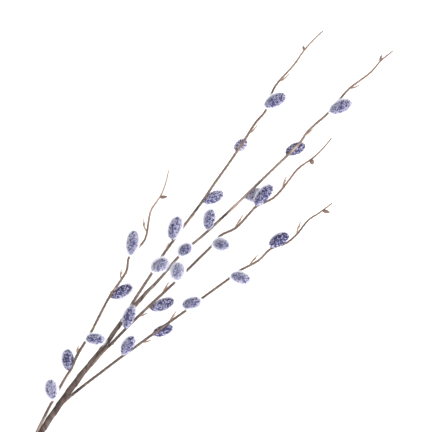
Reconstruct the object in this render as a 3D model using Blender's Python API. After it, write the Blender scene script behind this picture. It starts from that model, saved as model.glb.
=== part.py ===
"""Willow branch: a made spray of five wired catkin twigs bound to one tape-wound stem.

The spray lies on a surface at Z = 0. +X runs along it towards the tips and +Z is up. The origin
is on that surface, under the middle of the flat that the stem rests on. Routes are given as
(picture x, picture y, height in mm), because the branch was laid out from a picture of it that
looks straight down, 432 pixels square.
"""
import math

import bmesh
import bpy
from mathutils import Vector

MM = 0.001

# How the picture maps to the surface
MM_PER_PIXEL = 1.4
SPRAY_ANGLE = math.radians(50)
ORIGIN_PIXEL = (34.3, 442.2)

# Fit of one piece in another
GAP_MM = 0.3
LEAST_PART_OF_MESH = 0.5
WELD_MM = 0.01
TRIM_MM = 0.001

# Main stem
STEM_HALF_SIDES = 4
STEM_SPACING_MM = 5.0
STEM_RADII_MM = {"butt": 4.4, "middle": 2.9, "end": 1.9}
FIRST_STEP = (0.42, 0.54)
SECOND_STEP = (0.80, 1.0)
TAPE_PITCH_MM = 25.0
TAPE_LAP_MM = 0.4

# Twigs
TWIG_HALF_SIDES = 1
TWIG_SPACING_MM = 10.0
TWIG_ROOT_MM = 1.6
TWIG_MIDDLE_LOSS_MM = 0.4
TWIG_TIP_LOSS_MM = 0.7
TWIG_TIP_POWER = 6
PIN_RADIUS_MM = 1.0
PIN_SHOULDER_MM = (0.4, 1.2)

# Catkins
CATKIN_SIDES = 12
CATKIN_RINGS = 10
TUFT_RISE_MM = 1.2
TUFT_SWEEP_MM = 1.0
BASE_TAPER = 0.15
FOOT_PRESS_MM = 0.5

# Stalk that carries a catkin, at the twig and inside the catkin
STALK_RADII_MM = (1.8, 0.9)
STALK_DEPTH_MM = 3.5

# Small growth on a twig
SPRIG_RADII_MM = (0.9, 0.7, 0.4)
SPRIG_RISE_MM = 3.0
SPRIG_BOW_MM = 1.2
BUD_PROFILE = ((0.0, 0.45), (0.25, 0.9), (0.5, 1.0), (0.78, 0.7), (1.0, 0.25))
BUD_RISE_MM = 1.5

STEM_ROUTE = [
    (24.0, 458.0, 4.1), (32.5, 445.0, 4.1), (41.0, 432.0, 4.1), (50.0, 418.3, 4.2), (66.1, 395.3, 4.8),
    (85.0, 370.0, 6.0), (97.8, 353.8, 7.0), (108.8, 340.0, 8.0), (120.7, 323.0, 9.2), (133.0, 308.0, 10.4),
    (143.9, 295.3, 11.5), (158.7, 280.0, 12.8),
]

# Each twig's route starts in its seat in the stem, and a pin end is the number of the route's point at
# which a twig that is thinned to a pin leaves its seat.
PIN_ENDS = {"b": 2, "c": 1}
TWIG_ROUTES = {
    "a": [
        (30.8, 448.4, 4.3), (33.9, 440.0, 4.6), (37.3, 431.0, 5.8), (46.4, 412.5, 8.5), (53.3, 399.5, 10.5),
        (64.0, 380.0, 13.5), (71.0, 369.1, 15.0), (77.7, 354.3, 16.5), (90.6, 332.9, 18.0),
        (100.8, 313.0, 18.5), (109.7, 296.5, 18.5), (121.6, 279.2, 20.0), (126.8, 270.0, 21.0),
        (129.3, 256.7, 22.0), (140.0, 246.0, 24.0), (146.1, 236.3, 25.0), (150.2, 212.9, 27.0),
        (155.3, 203.7, 28.0), (161.4, 194.5, 29.0), (166.0, 182.2, 30.0), (168.6, 173.1, 31.0),
    ],
    "b": [
        (121.6, 322.2, 9.3), (127.0, 313.4, 10.4), (132.0, 304.0, 11.8), (138.3, 293.8, 13.0),
        (151.2, 274.1, 15.0), (162.3, 255.8, 17.0), (173.6, 240.3, 19.0), (184.3, 225.5, 21.0),
        (203.0, 200.5, 25.0), (213.3, 185.1, 27.0), (228.6, 163.7, 30.0), (242.9, 142.6, 31.5),
        (255.3, 123.1, 33.0), (265.5, 110.8, 34.0), (272.2, 92.0, 35.0), (278.6, 81.8, 36.0),
        (293.0, 66.0, 38.0), (303.4, 51.5, 40.0), (313.0, 40.5, 41.5), (323.2, 30.8, 43.0),
    ],
    "c": [
        (150.6, 288.4, 12.25), (158.7, 280.0, 12.8), (167.6, 269.6, 13.6), (176.7, 258.8, 14.5),
        (184.6, 250.5, 15.3), (194.0, 243.0, 16.3), (208.5, 230.5, 18.0), (232.0, 208.5, 20.5),
        (245.0, 196.2, 22.0), (263.0, 178.8, 23.5), (290.4, 152.5, 26.0), (300.6, 141.8, 26.5),
        (306.3, 133.3, 27.0), (315.5, 124.1, 28.0), (327.8, 113.4, 29.0), (340.2, 98.6, 30.5),
        (349.7, 88.2, 31.5), (359.0, 81.3, 32.5), (371.0, 72.0, 33.5), (380.6, 61.0, 34.5),
        (391.0, 52.5, 35.5),
    ],
    "d": [
        (78.0, 380.8, 5.5), (85.6, 371.5, 6.2), (93.4, 363.0, 8.8), (102.6, 352.2, 11.8),
        (111.8, 343.2, 14.6), (125.4, 329.2, 18.6), (139.5, 315.3, 20.5), (153.6, 301.9, 21.0),
        (176.6, 280.6, 21.5), (197.5, 260.0, 22.0), (211.3, 246.4, 22.5), (220.5, 235.6, 23.0),
        (236.3, 227.5, 23.0), (250.0, 212.9, 23.5), (257.1, 206.0, 24.0), (273.5, 197.8, 25.0),
        (285.6, 184.6, 26.0), (298.0, 168.8, 27.0), (313.0, 157.9, 28.0), (323.4, 147.9, 29.0),
        (331.5, 138.2, 30.0),
    ],
    "e": [
        (57.4, 409.0, 4.7), (62.6, 403.2, 5.1), (69.6, 397.0, 6.4), (82.0, 387.0, 8.8), (100.0, 373.2, 12.4),
        (118.0, 359.5, 16.6), (130.6, 350.4, 19.4), (153.6, 333.6, 23.8), (171.4, 320.8, 25.0),
        (185.2, 311.0, 25.5), (202.0, 298.3, 25.5), (227.7, 279.6, 25.5), (238.2, 271.4, 25.5),
        (258.2, 260.6, 26.0), (270.0, 249.4, 26.5), (286.2, 243.1, 27.5), (297.2, 233.8, 28.5),
        (308.0, 220.4, 29.5), (319.0, 213.0, 31.0), (332.1, 203.2, 32.5),
    ],
}

# Where each catkin lies: the two ends of its outline in the picture, its width in mm, how many degrees its
# tip rises from the surface, and how far its base is above the middle of the twig in mm.
CATKINS = {
    "a": [
        ((52.8, 399.6), (50.0, 379.6), 18.0, 14, 2.0),
        ((68.6, 370.8), (67.3, 349.4), 18.0, -10, 0.0),
        ((85.6, 338.6), (105.0, 339.6), 17.0, 14, 5.0),
        ((110.6, 297.6), (131.8, 286.2), 17.5, -22, -1.0),
        ((130.4, 255.4), (134.6, 230.6), 18.0, 12, 1.0),
    ],
    "b": [
        ((151.4, 270.1), (168.0, 260.5), 19.5, 44, 2.5),
        ((170.6, 239.0), (179.0, 216.8), 18.5, 10, 2.0),
        ((203.4, 202.6), (223.0, 192.8), 17.5, -10, 0.0),
        ((234.8, 150.8), (246.4, 139.8), 16.5, -52, -2.0),
        ((264.5, 106.2), (285.4, 95.6), 18.5, 15, 3.5),
    ],
    "c": [
        ((178.6, 254.6), (191.2, 245.3), 16.5, 52, 2.5),
        ((207.2, 229.8), (211.6, 209.6), 17.5, 12, 2.0),
        ((246.0, 199.4), (262.6, 190.0), 17.0, -28, -1.0),
        ((285.2, 153.2), (305.0, 144.8), 17.5, -38, -2.0),
        ((329.5, 111.8), (351.2, 102.2), 19.0, 14, 4.0),
    ],
    "d": [
        ((124.6, 328.4), (133.0, 306.4), 17.0, 12, 1.5),
        ((150.4, 309.2), (173.8, 300.4), 17.5, -22, -1.5),
        ((176.2, 281.0), (179.2, 262.8), 20.0, 44, 2.5),
        ((212.6, 242.8), (229.4, 246.4), 18.5, 46, 2.5),
        ((254.6, 205.2), (272.0, 185.6), 18.5, 12, 2.0),
    ],
    "e": [
        ((121.8, 354.8), (133.8, 336.4), 17.0, 14, 1.5),
        ((152.4, 334.4), (172.8, 327.2), 16.5, -36, -2.0),
        ((182.0, 305.8), (201.0, 300.6), 17.0, 24, 5.0),
        ((230.6, 275.0), (250.2, 280.6), 17.5, 16, 3.5),
        ((269.0, 245.6), (288.4, 234.6), 18.5, 22, 2.5),
    ],
}
FEET = ("a4", "b4", "c4", "d2", "e2")

# Sprigs: root and tip in the picture.
SPRIGS = {
    "a": [
        ((78.2, 354.3), (78.7, 346.1)), ((64.9, 379.3), (70.6, 372.4)), ((121.1, 278.6), (121.6, 270.0)),
        ((147.0, 231.2), (143.3, 219.0)),
    ],
    "b": [
        ((165.3, 251.4), (169.6, 241.4)), ((188.8, 220.4), (194.9, 214.2)), ((249.2, 132.8), (257.2, 125.1)),
        ((279.6, 81.2), (288.3, 74.7)),
    ],
    "c": [
        ((228.6, 211.8), (237.0, 206.0)), ((306.3, 133.6), (315.0, 127.0)), ((349.9, 88.2), (358.6, 85.3)),
    ],
    "d": [
        ((139.3, 315.7), (146.6, 313.5)), ((162.2, 293.6), (168.2, 283.1)), ((234.7, 228.0), (242.9, 215.7)),
        ((282.6, 187.4), (285.9, 177.8)),
    ],
    "e": [
        ((142.3, 342.0), (150.4, 340.5)), ((168.9, 322.3), (176.0, 312.1)), ((250.0, 265.2), (257.1, 255.9)),
        ((296.9, 233.8), (300.3, 222.6)),
    ],
}

# Buds: root and tip in the picture and the width in mm.
BUDS = {
    "a": ((159.4, 198.0), (166.8, 196.4), 3.8),
    "b": ((304.4, 50.6), (303.4, 46.6), 3.4),
    "c": ((379.4, 62.0), (382.0, 55.2), 3.4),
    "d": ((310.8, 159.8), (313.6, 163.6), 3.8),
    "e": ((321.8, 210.8), (328.8, 212.0), 4.0),
}

# Linear colour, roughness, and the angle in degrees past which an edge is sharp
LOOKS = {
    "stem": ((0.155, 0.108, 0.088), 0.85, 40),
    "twig": ((0.190, 0.125, 0.095), 0.7, 50),
    "catkin": ((0.270, 0.265, 0.540), 0.95, 180),
}


def clear_scene():
    """Removes what the scene holds."""
    for thing in list(bpy.data.objects):
        bpy.data.objects.remove(thing, do_unlink=True)


def new_collection(name):
    """A collection under the scene's own."""
    collection = bpy.data.collections.new(name)
    bpy.context.scene.collection.children.link(collection)
    return collection


def new_material(name, colour, roughness):
    """A plain surface of one linear colour."""
    material = bpy.data.materials.new(name)
    material.use_nodes = True
    surface = material.node_tree.nodes["Principled BSDF"]
    surface.inputs["Base Color"].default_value = (*colour, 1.0)
    surface.inputs["Roughness"].default_value = roughness
    surface.inputs["Metallic"].default_value = 0.0
    return material


def picture_point(across, down, height_mm=0.0):
    """The point in metres that a pixel of the picture shows, at a height above the surface."""
    right = (across - ORIGIN_PIXEL[0]) * MM_PER_PIXEL
    up = (ORIGIN_PIXEL[1] - down) * MM_PER_PIXEL
    along = right * math.cos(SPRAY_ANGLE) + up * math.sin(SPRAY_ANGLE)
    beside = up * math.cos(SPRAY_ANGLE) - right * math.sin(SPRAY_ANGLE)
    return Vector((along, beside, height_mm)) * MM


def smooth_route(route, spacing_mm):
    """Points about a spacing apart on a Catmull-Rom curve through a route's points."""
    knots = [picture_point(*point) for point in route]
    ends = [2 * knots[0] - knots[1]] + knots + [2 * knots[-1] - knots[-2]]
    points = [knots[0]]
    for before, start, end, after in zip(ends, ends[1:], ends[2:], ends[3:]):
        steps = max(1, round((end - start).length / (spacing_mm * MM)))
        for step in range(1, steps + 1):
            t = step / steps
            bend = (2 * before - 5 * start + 4 * end - after) * t * t
            turn = (3 * start - before - 3 * end + after) * t * t * t
            points.append((2 * start + (end - before) * t + bend + turn) / 2)
    return points


def shares_of_length(points):
    """How far along a route each of its points is, from 0 to 1."""
    lengths = [0.0]
    for start, end in zip(points, points[1:]):
        lengths.append(lengths[-1] + (end - start).length)
    return [length / lengths[-1] for length in lengths]


def nearest_on_route(points, place):
    """The point of a route that lies nearest to a place as seen from above."""
    best = None
    for start, end in zip(points, points[1:]):
        run = end - start
        flat_run = run.to_2d()
        share = (place - start).to_2d().dot(flat_run) / flat_run.length_squared
        candidate = start + run * min(1.0, max(0.0, share))
        distance = (place - candidate).to_2d().length
        if best is None or distance < best[0]:
            best = (distance, candidate)
    return best[1]


def evaluated_mesh(thing, name):
    """A mesh of an object as its modifiers leave it."""
    depsgraph = bpy.context.evaluated_depsgraph_get()
    mesh = bpy.data.meshes.new_from_object(thing.evaluated_get(depsgraph))
    mesh.name = name
    return mesh


def tube(name, points, radii_mm, half_sides, collection):
    """A closed round mesh along points, with a radius at each; it has 4 + 2 * half_sides sides."""
    curve = bpy.data.curves.new(name, "CURVE")
    curve.dimensions = "3D"
    curve.bevel_depth = MM
    curve.bevel_resolution = half_sides
    curve.use_fill_caps = True
    spline = curve.splines.new("POLY")
    spline.points.add(len(points) - 1)
    for knot, point, radius in zip(spline.points, points, radii_mm):
        knot.co = (*point, 1.0)
        knot.radius = radius
    guide = bpy.data.objects.new(name + "_guide", curve)
    collection.objects.link(guide)
    bpy.context.view_layer.update()
    mesh = evaluated_mesh(guide, name)
    matrix = guide.matrix_world.copy()
    bpy.data.objects.remove(guide, do_unlink=True)
    weld(mesh)
    body = bpy.data.objects.new(name, mesh)
    body.matrix_world = matrix
    collection.objects.link(body)
    return body


def weld(mesh):
    """Joins a tube to its caps."""
    work = bmesh.new()
    work.from_mesh(mesh)
    bmesh.ops.remove_doubles(work, verts=work.verts, dist=WELD_MM * MM)
    bmesh.ops.recalc_face_normals(work, faces=work.faces)
    work.to_mesh(mesh)
    work.free()


def fattened(points, radii_mm):
    """A route and radii that stand one gap clear of a tube all over, its ends too."""
    first = points[0] + (points[0] - points[1]).normalized() * GAP_MM * MM
    last = points[-1] + (points[-1] - points[-2]).normalized() * GAP_MM * MM
    return [first] + points[1:-1] + [last], [radius + GAP_MM for radius in radii_mm]


def apply_modifiers(body):
    """Keeps the mesh that an object's modifiers make and drops the modifiers."""
    bpy.context.view_layer.update()
    mesh = evaluated_mesh(body, body.name)
    body.modifiers.clear()
    body.data = mesh


def cut(body, cutters):
    """Takes cutters out of a body one by one, and removes them."""
    for cutter in cutters:
        modifier = body.modifiers.new("Seat", "BOOLEAN")
        modifier.operation = "DIFFERENCE"
        modifier.solver = "EXACT"
        modifier.object = cutter
    apply_modifiers(body)
    for cutter in cutters:
        bpy.data.objects.remove(cutter, do_unlink=True)


def join_all(body, growths):
    """Joins everything in a collection to a body, and removes it."""
    modifier = body.modifiers.new("Grown together", "BOOLEAN")
    modifier.operation = "UNION"
    modifier.solver = "EXACT"
    modifier.operand_type = "COLLECTION"
    modifier.collection = growths
    apply_modifiers(body)
    for growth in list(growths.objects):
        bpy.data.objects.remove(growth, do_unlink=True)
    bpy.data.collections.remove(growths)


def connected_groups(work):
    """The vertices of a mesh in groups that edges join."""
    seen = set()
    groups = []
    for seed in work.verts:
        if seed in seen:
            continue
        seen.add(seed)
        group = [seed]
        for vertex in group:
            for edge in vertex.link_edges:
                other = edge.other_vert(vertex)
                if other not in seen:
                    seen.add(other)
                    group.append(other)
        groups.append(group)
    return groups


def drop_scraps(body):
    """Deletes the loose bits that a cut leaves beside a body."""
    work = bmesh.new()
    work.from_mesh(body.data)
    total = len(work.verts)
    for group in connected_groups(work):
        if len(group) < LEAST_PART_OF_MESH * total:
            bmesh.ops.delete(work, geom=group, context="VERTS")
    work.to_mesh(body.data)
    work.free()


def trim_at_surface(body):
    """Cuts off what reaches below the surface, which leaves small flats to rest on."""
    work = bmesh.new()
    work.from_mesh(body.data)
    everything = work.verts[:] + work.edges[:] + work.faces[:]
    bmesh.ops.bisect_plane(
        work, geom=everything, dist=TRIM_MM * MM, plane_co=(0, 0, 0), plane_no=(0, 0, -1), clear_outer=True
    )
    rim = [edge for edge in work.edges if edge.is_boundary]
    bmesh.ops.holes_fill(work, edges=rim, sides=0)
    work.to_mesh(body.data)
    work.free()


def finish(body, look, materials):
    """Gives a body the material and the shading of its look."""
    body.data.materials.clear()
    body.data.materials.append(materials[look])
    body.data.shade_smooth()
    body.data.set_sharp_from_angle(angle=math.radians(LOOKS[look][2]))


def between(start, end, share):
    """A smooth step from 0 to 1 as share goes from start to end."""
    t = min(1.0, max(0.0, (share - start) / (end - start)))
    return t * t * (3 - 2 * t)


def stem_radius(share):
    """The stem's radius in mm, which drops where twigs leave it."""
    radius = STEM_RADII_MM["butt"]
    radius += (STEM_RADII_MM["middle"] - STEM_RADII_MM["butt"]) * between(*FIRST_STEP, share)
    radius += (STEM_RADII_MM["end"] - STEM_RADII_MM["middle"]) * between(*SECOND_STEP, share)
    return radius


def raise_tape_laps(body, points):
    """Lifts the stem's skin in a spiral, with a step at each lap of the tape."""
    lengths = [0.0]
    for start, end in zip(points, points[1:]):
        lengths.append(lengths[-1] + (end - start).length / MM)
    for vertex in body.data.vertices:
        place = vertex.co
        nearest = min(range(len(points)), key=lambda index: (points[index] - place).length)
        ahead = points[min(nearest + 1, len(points) - 1)] - points[max(nearest - 1, 0)]
        out = place - points[nearest]
        side = ahead.cross(Vector((0, 0, 1))).normalized()
        turn = math.atan2(out.z, out.dot(side)) / math.tau
        lap = (lengths[nearest] / TAPE_PITCH_MM + turn) % 1.0
        vertex.co = place + out.normalized() * TAPE_LAP_MM * (1.0 - lap) * MM


def twig_radii(points):
    """A twig's radius in mm at each of its points."""
    radii = []
    for share in shares_of_length(points):
        loss = TWIG_MIDDLE_LOSS_MM * share + TWIG_TIP_LOSS_MM * share**TWIG_TIP_POWER
        radii.append(TWIG_ROOT_MM - loss)
    return radii


def twig_line(letter):
    """A twig's points and radii, thinned to a pin in its seat where its seat is narrow."""
    points = smooth_route(TWIG_ROUTES[letter], TWIG_SPACING_MM)
    radii = twig_radii(points)
    if letter not in PIN_ENDS:
        return points, radii
    pin_end = picture_point(*TWIG_ROUTES[letter][PIN_ENDS[letter]])
    at = min(range(len(points)), key=lambda index: (points[index] - pin_end).length)
    heading = (points[at + 1] - points[at - 1]).normalized()
    neck = [pin_end + heading * distance * MM for distance in PIN_SHOULDER_MM]
    pin_radii = [PIN_RADIUS_MM] * (at + 1)
    return points[:at] + neck + points[at + 1 :], pin_radii + radii[at:]


def catkin_frame(spot, twig_points):
    """Where a catkin is: its base, its direction and its length in metres."""
    base_pixel, tip_pixel, width_mm, tilt_degrees, lift_mm = spot
    ends = picture_point(*base_pixel), picture_point(*tip_pixel)
    tilt = math.radians(tilt_degrees)
    seen = (ends[1] - ends[0]).length
    across = width_mm * MM * math.sin(tilt)
    length = math.sqrt(seen * seen - across * across) / math.cos(tilt)
    flat = (ends[1] - ends[0]).normalized()
    direction = flat * math.cos(tilt) + Vector((0, 0, math.sin(tilt)))
    base = (ends[0] + ends[1]) / 2 - direction * length / 2
    base.z = nearest_on_route(twig_points, base).z + lift_mm * MM
    return base, direction, length


def catkin_mesh(name, base, direction, length, width):
    """A long egg of raised tufts, narrower at its base, along a direction from its base."""
    turn = Vector((0, 0, 1)).rotation_difference(direction)
    core_radius = width / 2 - TUFT_RISE_MM * MM
    work = bmesh.new()
    bmesh.ops.create_uvsphere(work, u_segments=CATKIN_SIDES, v_segments=CATKIN_RINGS, radius=1.0)
    for vertex in work.verts:
        x, y, z = vertex.co
        ring = round(math.acos(max(-1.0, min(1.0, z))) / math.pi * CATKIN_RINGS)
        side = round(math.atan2(y, x) / math.tau * CATKIN_SIDES)
        share = (1 + z) / 2
        fullness = core_radius * (1 - BASE_TAPER * (1 - share) ** 2)
        place = Vector((x * fullness, y * fullness, length * share))
        if 0 < ring < CATKIN_RINGS and (ring + side) % 2 == 0:
            out = Vector((x, y, 0)).normalized()
            place += out * TUFT_RISE_MM * MM + Vector((0, 0, TUFT_SWEEP_MM * MM))
        vertex.co = base + turn @ place
    mesh = bpy.data.meshes.new(name)
    work.to_mesh(mesh)
    work.free()
    return mesh


def stalk_route(twig_points, base, direction):
    """The two ends of a catkin's stalk: on the twig and inside the catkin's base."""
    return [nearest_on_route(twig_points, base), base + direction * STALK_DEPTH_MM * MM]


def make_catkin(name, spot, twig_points, twig_radii_mm, collection):
    """A catkin seated on its stalk and clear of its twig; returns it and its stalk's route."""
    base, direction, length = catkin_frame(spot, twig_points)
    mesh = catkin_mesh(name, base, direction, length, spot[2] * MM)
    if name.split("_")[1] in FEET:
        lowest = min(vertex.co.z for vertex in mesh.vertices)
        drop = Vector((0, 0, lowest + FOOT_PRESS_MM * MM))
        for vertex in mesh.vertices:
            vertex.co -= drop
        base -= drop
    body = bpy.data.objects.new(name, mesh)
    collection.objects.link(body)
    stalk = stalk_route(twig_points, base, direction)
    twig_room = tube("twig_room", *fattened(twig_points, twig_radii_mm), TWIG_HALF_SIDES, collection)
    stalk_room = tube("stalk_room", *fattened(stalk, STALK_RADII_MM), TWIG_HALF_SIDES, collection)
    cut(body, [twig_room, stalk_room])
    drop_scraps(body)
    if name.split("_")[1] in FEET:
        trim_at_surface(body)
    return body, stalk


def add_sprig(twig_points, ends, growths):
    """A thin pointed sprig that rises a little and bows away from its twig."""
    root = nearest_on_route(twig_points, picture_point(*ends[0]))
    tip = picture_point(*ends[1]) + Vector((0, 0, root.z + SPRIG_RISE_MM * MM))
    middle = root.lerp(tip, 0.5)
    away = middle - nearest_on_route(twig_points, middle)
    away.z = 0
    middle += away.normalized() * SPRIG_BOW_MM * MM
    tube("sprig", [root, middle, tip], SPRIG_RADII_MM, 0, growths)


def add_bud(twig_points, bud, growths):
    """A pointed bud close to its twig's tip."""
    root_flat, tip_flat = picture_point(*bud[0]), picture_point(*bud[1])
    root = nearest_on_route(twig_points, root_flat)
    tip = tip_flat + Vector((0, 0, root.z + BUD_RISE_MM * MM))
    points = [root.lerp(tip, share) for share, fullness in BUD_PROFILE]
    radii = [bud[2] / 2 * fullness for share, fullness in BUD_PROFILE]
    tube("bud", points, radii, TWIG_HALF_SIDES, growths)


def make_twig(letter, points, radii, stalks, materials, collection):
    """A twig with its catkins' stalks, sprigs and bud, as one body."""
    body = tube("twig_" + letter, points, radii, TWIG_HALF_SIDES, collection)
    growths = new_collection("growth_" + letter)
    for stalk in stalks:
        tube("stalk", stalk, STALK_RADII_MM, TWIG_HALF_SIDES, growths)
    for ends in SPRIGS[letter]:
        add_sprig(points, ends, growths)
    add_bud(points, BUDS[letter], growths)
    join_all(body, growths)
    drop_scraps(body)
    finish(body, "twig", materials)


def make_stem(twigs, materials, collection):
    """The tape-wound stem with a seat for each twig and a flat under its butt."""
    points = smooth_route(STEM_ROUTE, STEM_SPACING_MM)
    radii = [stem_radius(share) for share in shares_of_length(points)]
    body = tube("main_stem", points, radii, STEM_HALF_SIDES, collection)
    raise_tape_laps(body, points)
    rooms = [tube("twig_room", *fattened(*twig), TWIG_HALF_SIDES, collection) for twig in twigs]
    cut(body, rooms)
    drop_scraps(body)
    trim_at_surface(body)
    finish(body, "stem", materials)


def main():
    """Builds the stem, the five twigs and their catkins."""
    clear_scene()
    collection = new_collection("willow_branch")
    materials = {name: new_material(name, look[0], look[1]) for name, look in LOOKS.items()}
    twigs = {letter: twig_line(letter) for letter in TWIG_ROUTES}
    make_stem(twigs.values(), materials, collection)
    for letter, (points, radii) in twigs.items():
        stalks = []
        for number, spot in enumerate(CATKINS[letter], start=1):
            name = "catkin_" + letter + str(number)
            catkin, stalk = make_catkin(name, spot, points, radii, collection)
            finish(catkin, "catkin", materials)
            stalks.append(stalk)
        make_twig(letter, points, radii, stalks, materials, collection)


main()
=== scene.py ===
"""Looks of the willow branch: a stem wound with crepe tape, wound wire twigs, and furred catkins.

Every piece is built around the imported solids, in metres. The branch lies on a surface at Z = 0, with
+X along it towards the tips. Routes are (picture x, picture y, height in mm), where the picture looks
straight down and is 432 pixels square.
"""
import math
from collections import namedtuple
from functools import partial

import bmesh
import bpy
import numpy as np
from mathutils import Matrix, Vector


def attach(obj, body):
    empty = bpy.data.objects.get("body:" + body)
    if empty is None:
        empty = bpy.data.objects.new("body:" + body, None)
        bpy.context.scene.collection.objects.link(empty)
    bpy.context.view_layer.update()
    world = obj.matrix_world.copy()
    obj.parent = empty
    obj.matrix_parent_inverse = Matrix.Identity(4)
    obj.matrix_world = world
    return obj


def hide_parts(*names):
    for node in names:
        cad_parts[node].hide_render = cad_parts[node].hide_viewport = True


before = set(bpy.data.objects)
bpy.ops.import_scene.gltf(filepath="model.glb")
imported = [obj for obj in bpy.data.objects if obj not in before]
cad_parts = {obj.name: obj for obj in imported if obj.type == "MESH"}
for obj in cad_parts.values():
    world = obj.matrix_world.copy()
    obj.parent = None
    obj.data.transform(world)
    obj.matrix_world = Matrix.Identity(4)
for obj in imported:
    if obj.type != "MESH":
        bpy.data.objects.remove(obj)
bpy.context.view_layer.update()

bl_info = {
    "name": "Willow Branch",
    "version": (1, 0, 0),
    "blender": (4, 5, 0),
    "location": "View3D > Sidebar > Willow",
    "description": "Dresses a willow branch: taped stem, wound twigs, sprigs, buds and furred catkins",
    "category": "Add Mesh",
}

MM = 0.001

# Kinds of node that are used often, and the places of sockets whose names aren't unique
MATH = "ShaderNodeMath"
VECTOR_MATH = "ShaderNodeVectorMath"
MAP_RANGE = "ShaderNodeMapRange"
SEPARATE = "ShaderNodeSeparateXYZ"
COMBINE = "ShaderNodeCombineXYZ"
NOISE = "ShaderNodeTexNoise"
MIX = "ShaderNodeMix"
MIX_FACTOR, MIX_A, MIX_B = 0, 6, 7
RANDOM = "FunctionNodeRandomValue"
RANDOM_MIN, RANDOM_MAX = 2, 3
POSITION = "GeometryNodeInputPosition"
SET_POSITION = "GeometryNodeSetPosition"
STORE = "GeometryNodeStoreNamedAttribute"
CURVE_TO_MESH = "GeometryNodeCurveToMesh"
REALIZE = "GeometryNodeRealizeInstances"

# How the picture maps to the surface
PICTURE_PIXELS = 432
MM_PER_PIXEL = 1.4
SPRAY_ANGLE = math.radians(50)
ORIGIN_PIXEL = (34.3, 442.2)

ROUTE_SPACING_MM = 3.0

# Main stem
STEM_RADII_MM = {"butt": 4.15, "middle": 2.9, "end": 1.9}
FIRST_STEP = (0.42, 0.54)
SECOND_STEP = (0.80, 1.0)
STEM_ROUTE = [
    (24.0, 458.0, 4.1), (32.5, 445.0, 4.1), (41.0, 432.0, 4.1), (50.0, 418.3, 4.2), (66.1, 395.3, 4.8),
    (85.0, 370.0, 6.0), (97.8, 353.8, 7.0), (108.8, 340.0, 8.0), (120.7, 323.0, 9.2), (133.0, 308.0, 10.4),
    (143.9, 295.3, 11.5), (158.7, 280.0, 12.8),
]

# Twigs
TWIG_ROOT_MM = 1.6
TWIG_MIDDLE_LOSS_MM = 0.4
TWIG_TIP_LOSS_MM = 0.7
TWIG_TIP_POWER = 6
PAPER_MM = 0.4
TWIG_RIB_PITCH = 1.6
TWIG_RIB_RISE = 0.5
TWIG_ROUTES = {
    "a": [
        (30.8, 448.4, 4.3), (33.9, 440.0, 4.6), (37.3, 431.0, 5.8), (46.4, 412.5, 8.5), (53.3, 399.5, 10.5),
        (64.0, 380.0, 13.5), (71.0, 369.1, 15.0), (77.7, 354.3, 16.5), (90.6, 332.9, 18.0),
        (100.8, 313.0, 18.5), (109.7, 296.5, 18.5), (121.6, 279.2, 20.0), (126.8, 270.0, 21.0),
        (129.3, 256.7, 22.0), (140.0, 246.0, 24.0), (146.1, 236.3, 25.0), (150.2, 212.9, 27.0),
        (155.3, 203.7, 28.0), (161.4, 194.5, 29.0), (166.0, 182.2, 30.0), (168.7, 170.4, 31.2),
    ],
    "b": [
        (121.6, 322.2, 9.3), (127.0, 313.4, 10.4), (132.0, 304.0, 11.8), (138.3, 293.8, 13.0),
        (151.2, 274.1, 15.0), (162.3, 255.8, 17.0), (173.6, 240.3, 19.0), (184.3, 225.5, 21.0),
        (203.0, 200.5, 25.0), (213.3, 185.1, 27.0), (228.6, 163.7, 30.0), (242.9, 142.6, 31.5),
        (255.3, 123.1, 33.0), (265.5, 110.8, 34.0), (272.2, 92.0, 35.0), (278.6, 81.8, 36.0),
        (293.0, 66.0, 38.0), (303.4, 51.5, 40.0), (313.0, 40.5, 41.5), (323.2, 30.8, 43.0),
    ],
    "c": [
        (150.6, 288.4, 12.25), (158.7, 280.0, 12.8), (167.6, 269.6, 13.6), (176.7, 258.8, 14.5),
        (184.6, 250.5, 15.3), (194.0, 243.0, 16.3), (208.5, 230.5, 18.0), (232.0, 208.5, 20.5),
        (245.0, 196.2, 22.0), (263.0, 178.8, 23.5), (290.4, 152.5, 26.0), (300.6, 141.8, 26.5),
        (306.3, 133.3, 27.0), (315.5, 124.1, 28.0), (327.8, 113.4, 29.0), (340.2, 98.6, 30.5),
        (349.7, 88.2, 31.5), (359.0, 81.3, 32.5), (371.0, 72.0, 33.5), (380.6, 61.0, 34.5),
        (392.6, 51.2, 35.6),
    ],
    "d": [
        (78.0, 380.8, 5.5), (85.6, 371.5, 6.2), (93.4, 363.0, 8.8), (102.6, 352.2, 11.8),
        (111.8, 343.2, 14.6), (125.4, 329.2, 18.6), (139.5, 315.3, 20.5), (153.6, 301.9, 21.0),
        (176.6, 280.6, 21.5), (197.5, 260.0, 22.0), (211.3, 246.4, 22.5), (220.5, 235.6, 23.0),
        (236.3, 227.5, 23.0), (250.0, 212.9, 23.5), (257.1, 206.0, 24.0), (273.5, 197.8, 25.0),
        (285.6, 184.6, 26.0), (298.0, 168.8, 27.0), (313.0, 157.9, 28.0), (323.4, 147.9, 29.0),
        (331.5, 138.2, 30.0),
    ],
    "e": [
        (57.4, 409.0, 4.7), (62.6, 403.2, 5.1), (69.6, 397.0, 6.4), (82.0, 387.0, 8.8), (100.0, 373.2, 12.4),
        (118.0, 359.5, 16.6), (130.6, 350.4, 19.4), (153.6, 333.6, 23.8), (171.4, 320.8, 25.0),
        (185.2, 311.0, 25.5), (202.0, 298.3, 25.5), (227.7, 279.6, 25.5), (238.2, 271.4, 25.5),
        (258.2, 260.6, 26.0), (270.0, 249.4, 26.5), (286.2, 243.1, 27.5), (297.2, 233.8, 28.5),
        (308.0, 220.4, 29.5), (319.0, 213.0, 31.0), (332.1, 203.2, 32.5),
    ],
}

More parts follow.
